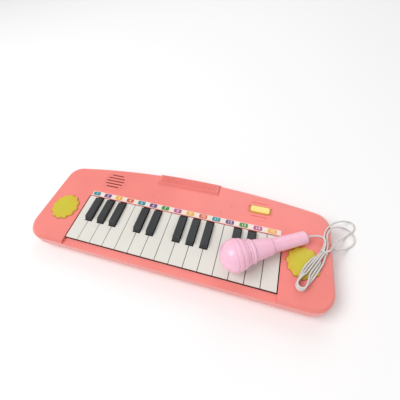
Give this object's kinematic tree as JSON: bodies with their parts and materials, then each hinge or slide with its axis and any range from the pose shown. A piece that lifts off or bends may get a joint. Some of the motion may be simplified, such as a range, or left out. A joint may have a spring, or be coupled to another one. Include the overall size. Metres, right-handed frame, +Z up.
{
  "type": "toy electronic keyboard",
  "caption": "Small pink toy keyboard with hinged keys, two flower push buttons, a slide switch, a speaker grille and a toy microphone on a tied cord.",
  "frame": {"origin": "centre of the case's footprint on the table, at the bottom of the feet", "axes": "+X to the player's right along the keys, +Y from the player to the back, +Z up"},
  "size_m": [0.4102, 0.131, 0.0677],
  "materials": {
    "casing": "coral pink, smooth injection-moulded",
    "white_key": "white, smooth",
    "black_key": "charcoal, satin",
    "note_label": "printed white film with coloured fields",
    "flower": "yellow-green, slightly translucent",
    "knob": "pale yellow, smooth",
    "microphone": "bubblegum pink, smooth",
    "cord": "milky, slightly translucent vinyl",
    "frame": "natural",
    "board": "green laminate with solder mask",
    "chip": "black moulded parts",
    "lamp": "clear lens",
    "steel": "plain zinc plated",
    "grey_metal": "dark zinc plated",
    "paper": "pressed paper cone",
    "cell": "dark sleeve, no print",
    "silicone": "grey silicone",
    "foot_rubber": "dark rubber"
  },
  "bodies": {
    "casing": {"top_case": "casing", "bottom_case": "casing", "key_frame": "frame", "pivot_rod": "steel", "contact_board": "board", "contact_strip": "silicone", "note_strip": "note_label", "speaker_frame": "grey_metal", "speaker_cone": "paper", "speaker_magnet": "grey_metal", "button_boards": "board", "button_lamps": "lamp", "slide_switch": "steel", "main_board": "board", "board_chips": "chip", "battery_door": "casing", "battery_cells": "cell", "battery_contacts": "steel", "case_screws": "steel", "feet": "foot_rubber", "cord_lead": "cord", "cord_loop_front": "cord", "cord_loop_rear": "cord", "cord_hank": "cord", "cord_tie": "cord", "cord_gland": "cord"},
    "white_key_01_body": {"white_key_01": "white_key"},
    "white_key_02_body": {"white_key_02": "white_key"},
    "white_key_03_body": {"white_key_03": "white_key"},
    "white_key_04_body": {"white_key_04": "white_key"},
    "white_key_05_body": {"white_key_05": "white_key"},
    "white_key_06_body": {"white_key_06": "white_key"},
    "white_key_07_body": {"white_key_07": "white_key"},
    "white_key_08_body": {"white_key_08": "white_key"},
    "white_key_09_body": {"white_key_09": "white_key"},
    "white_key_10_body": {"white_key_10": "white_key"},
    "white_key_11_body": {"white_key_11": "white_key"},
    "white_key_12_body": {"white_key_12": "white_key"},
    "white_key_13_body": {"white_key_13": "white_key"},
    "white_key_14_body": {"white_key_14": "white_key"},
    "white_key_15_body": {"white_key_15": "white_key"},
    "black_key_01_body": {"black_key_01": "black_key"},
    "black_key_02_body": {"black_key_02": "black_key"},
    "black_key_03_body": {"black_key_03": "black_key"},
    "black_key_04_body": {"black_key_04": "black_key"},
    "black_key_05_body": {"black_key_05": "black_key"},
    "black_key_06_body": {"black_key_06": "black_key"},
    "black_key_07_body": {"black_key_07": "black_key"},
    "black_key_08_body": {"black_key_08": "black_key"},
    "black_key_09_body": {"black_key_09": "black_key"},
    "black_key_10_body": {"black_key_10": "black_key"},
    "button_left": {"flower_button_left": "flower"},
    "button_right": {"flower_button_right": "flower"},
    "knob": {"switch_knob": "knob"},
    "microphone": {"mic_head": "microphone", "mic_collar": "microphone", "mic_handle": "microphone", "mic_capsule": "grey_metal", "mic_grommet": "cord"}
  },
  "joints": [
    {"name": "white_key_01_press", "type": "hinge", "parent": "casing", "child": "white_key_01_body", "pos_m": [-0.12512, 0.0161, 0.023], "axis": [1, 0, 0], "range_deg": [0, 2.8], "stiffness_Nm_per_rad": 0.4, "springref_deg": -3.44},
    {"name": "white_key_02_press", "type": "hinge", "parent": "casing", "child": "white_key_02_body", "pos_m": [-0.105, 0.0161, 0.023], "axis": [1, 0, 0], "range_deg": [0, 2.8], "stiffness_Nm_per_rad": 0.4, "springref_deg": -3.44},
    {"name": "white_key_03_press", "type": "hinge", "parent": "casing", "child": "white_key_03_body", "pos_m": [-0.0875, 0.0161, 0.023], "axis": [1, 0, 0], "range_deg": [0, 2.8], "stiffness_Nm_per_rad": 0.4, "springref_deg": -3.44},
    {"name": "white_key_04_press", "type": "hinge", "parent": "casing", "child": "white_key_04_body", "pos_m": [-0.06738, 0.0161, 0.023], "axis": [1, 0, 0], "range_deg": [0, 2.8], "stiffness_Nm_per_rad": 0.4, "springref_deg": -3.44},
    {"name": "white_key_05_press", "type": "hinge", "parent": "casing", "child": "white_key_05_body", "pos_m": [-0.05513, 0.0161, 0.023], "axis": [1, 0, 0], "range_deg": [0, 2.8], "stiffness_Nm_per_rad": 0.4, "springref_deg": -3.44},
    {"name": "white_key_06_press", "type": "hinge", "parent": "casing", "child": "white_key_06_body", "pos_m": [-0.035, 0.0161, 0.023], "axis": [1, 0, 0], "range_deg": [0, 2.8], "stiffness_Nm_per_rad": 0.4, "springref_deg": -3.44},
    {"name": "white_key_07_press", "type": "hinge", "parent": "casing", "child": "white_key_07_body", "pos_m": [-0.01487, 0.0161, 0.023], "axis": [1, 0, 0], "range_deg": [0, 2.8], "stiffness_Nm_per_rad": 0.4, "springref_deg": -3.44},
    {"name": "white_key_08_press", "type": "hinge", "parent": "casing", "child": "white_key_08_body", "pos_m": [-0.00263, 0.0161, 0.023], "axis": [1, 0, 0], "range_deg": [0, 2.8], "stiffness_Nm_per_rad": 0.4, "springref_deg": -3.44},
    {"name": "white_key_09_press", "type": "hinge", "parent": "casing", "child": "white_key_09_body", "pos_m": [0.0175, 0.0161, 0.023], "axis": [1, 0, 0], "range_deg": [0, 2.8], "stiffness_Nm_per_rad": 0.4, "springref_deg": -3.44},
    {"name": "white_key_10_press", "type": "hinge", "parent": "casing", "child": "white_key_10_body", "pos_m": [0.035, 0.0161, 0.023], "axis": [1, 0, 0], "range_deg": [0, 2.8], "stiffness_Nm_per_rad": 0.4, "springref_deg": -3.44},
    {"name": "white_key_11_press", "type": "hinge", "parent": "casing", "child": "white_key_11_body", "pos_m": [0.05513, 0.0161, 0.023], "axis": [1, 0, 0], "range_deg": [0, 2.8], "stiffness_Nm_per_rad": 0.4, "springref_deg": -3.44},
    {"name": "white_key_12_press", "type": "hinge", "parent": "casing", "child": "white_key_12_body", "pos_m": [0.06738, 0.0161, 0.023], "axis": [1, 0, 0], "range_deg": [0, 2.8], "stiffness_Nm_per_rad": 0.4, "springref_deg": -3.44},
    {"name": "white_key_13_press", "type": "hinge", "parent": "casing", "child": "white_key_13_body", "pos_m": [0.0875, 0.0161, 0.023], "axis": [1, 0, 0], "range_deg": [0, 2.8], "stiffness_Nm_per_rad": 0.4, "springref_deg": -3.44},
    {"name": "white_key_14_press", "type": "hinge", "parent": "casing", "child": "white_key_14_body", "pos_m": [0.10762, 0.0161, 0.023], "axis": [1, 0, 0], "range_deg": [0, 2.8], "stiffness_Nm_per_rad": 0.4, "springref_deg": -3.44},
    {"name": "white_key_15_press", "type": "hinge", "parent": "casing", "child": "white_key_15_body", "pos_m": [0.1225, 0.0161, 0.023], "axis": [1, 0, 0], "range_deg": [0, 2.8], "stiffness_Nm_per_rad": 0.4, "springref_deg": -3.44},
    {"name": "black_key_01_press", "type": "hinge", "parent": "casing", "child": "black_key_01_body", "pos_m": [-0.11375, 0.0161, 0.023], "axis": [1, 0, 0], "range_deg": [0, 2.8], "stiffness_Nm_per_rad": 0.4, "springref_deg": -3.44},
    {"name": "black_key_02_press", "type": "hinge", "parent": "casing", "child": "black_key_02_body", "pos_m": [-0.09625, 0.0161, 0.023], "axis": [1, 0, 0], "range_deg": [0, 2.8], "stiffness_Nm_per_rad": 0.4, "springref_deg": -3.44},
    {"name": "black_key_03_press", "type": "hinge", "parent": "casing", "child": "black_key_03_body", "pos_m": [-0.07875, 0.0161, 0.023], "axis": [1, 0, 0], "range_deg": [0, 2.8], "stiffness_Nm_per_rad": 0.4, "springref_deg": -3.44},
    {"name": "black_key_04_press", "type": "hinge", "parent": "casing", "child": "black_key_04_body", "pos_m": [-0.04375, 0.0161, 0.023], "axis": [1, 0, 0], "range_deg": [0, 2.8], "stiffness_Nm_per_rad": 0.4, "springref_deg": -3.44},
    {"name": "black_key_05_press", "type": "hinge", "parent": "casing", "child": "black_key_05_body", "pos_m": [-0.02625, 0.0161, 0.023], "axis": [1, 0, 0], "range_deg": [0, 2.8], "stiffness_Nm_per_rad": 0.4, "springref_deg": -3.44},
    {"name": "black_key_06_press", "type": "hinge", "parent": "casing", "child": "black_key_06_body", "pos_m": [0.00875, 0.0161, 0.023], "axis": [1, 0, 0], "range_deg": [0, 2.8], "stiffness_Nm_per_rad": 0.4, "springref_deg": -3.44},
    {"name": "black_key_07_press", "type": "hinge", "parent": "casing", "child": "black_key_07_body", "pos_m": [0.02625, 0.0161, 0.023], "axis": [1, 0, 0], "range_deg": [0, 2.8], "stiffness_Nm_per_rad": 0.4, "springref_deg": -3.44},
    {"name": "black_key_08_press", "type": "hinge", "parent": "casing", "child": "black_key_08_body", "pos_m": [0.04375, 0.0161, 0.023], "axis": [1, 0, 0], "range_deg": [0, 2.8], "stiffness_Nm_per_rad": 0.4, "springref_deg": -3.44},
    {"name": "black_key_09_press", "type": "hinge", "parent": "casing", "child": "black_key_09_body", "pos_m": [0.07875, 0.0161, 0.023], "axis": [1, 0, 0], "range_deg": [0, 2.8], "stiffness_Nm_per_rad": 0.4, "springref_deg": -3.44},
    {"name": "black_key_10_press", "type": "hinge", "parent": "casing", "child": "black_key_10_body", "pos_m": [0.09625, 0.0161, 0.023], "axis": [1, 0, 0], "range_deg": [0, 2.8], "stiffness_Nm_per_rad": 0.4, "springref_deg": -3.44},
    {"name": "button_left_press", "type": "slide", "parent": "casing", "child": "button_left", "axis": [0, 0, -1], "range_m": [0, 0.0015], "stiffness_N_per_m": 600, "springref_m": -0.001},
    {"name": "button_right_press", "type": "slide", "parent": "casing", "child": "button_right", "axis": [0, 0, -1], "range_m": [0, 0.0015], "stiffness_N_per_m": 600, "springref_m": -0.001},
    {"name": "switch_slide", "type": "slide", "parent": "casing", "child": "knob", "axis": [1, 0, 0], "range_m": [-0.002, 0.002]},
    {"name": "microphone_lift", "type": "slide", "parent": "casing", "child": "microphone", "axis": [0, 0, 1], "range_m": [0, 0.04]}
  ]
}
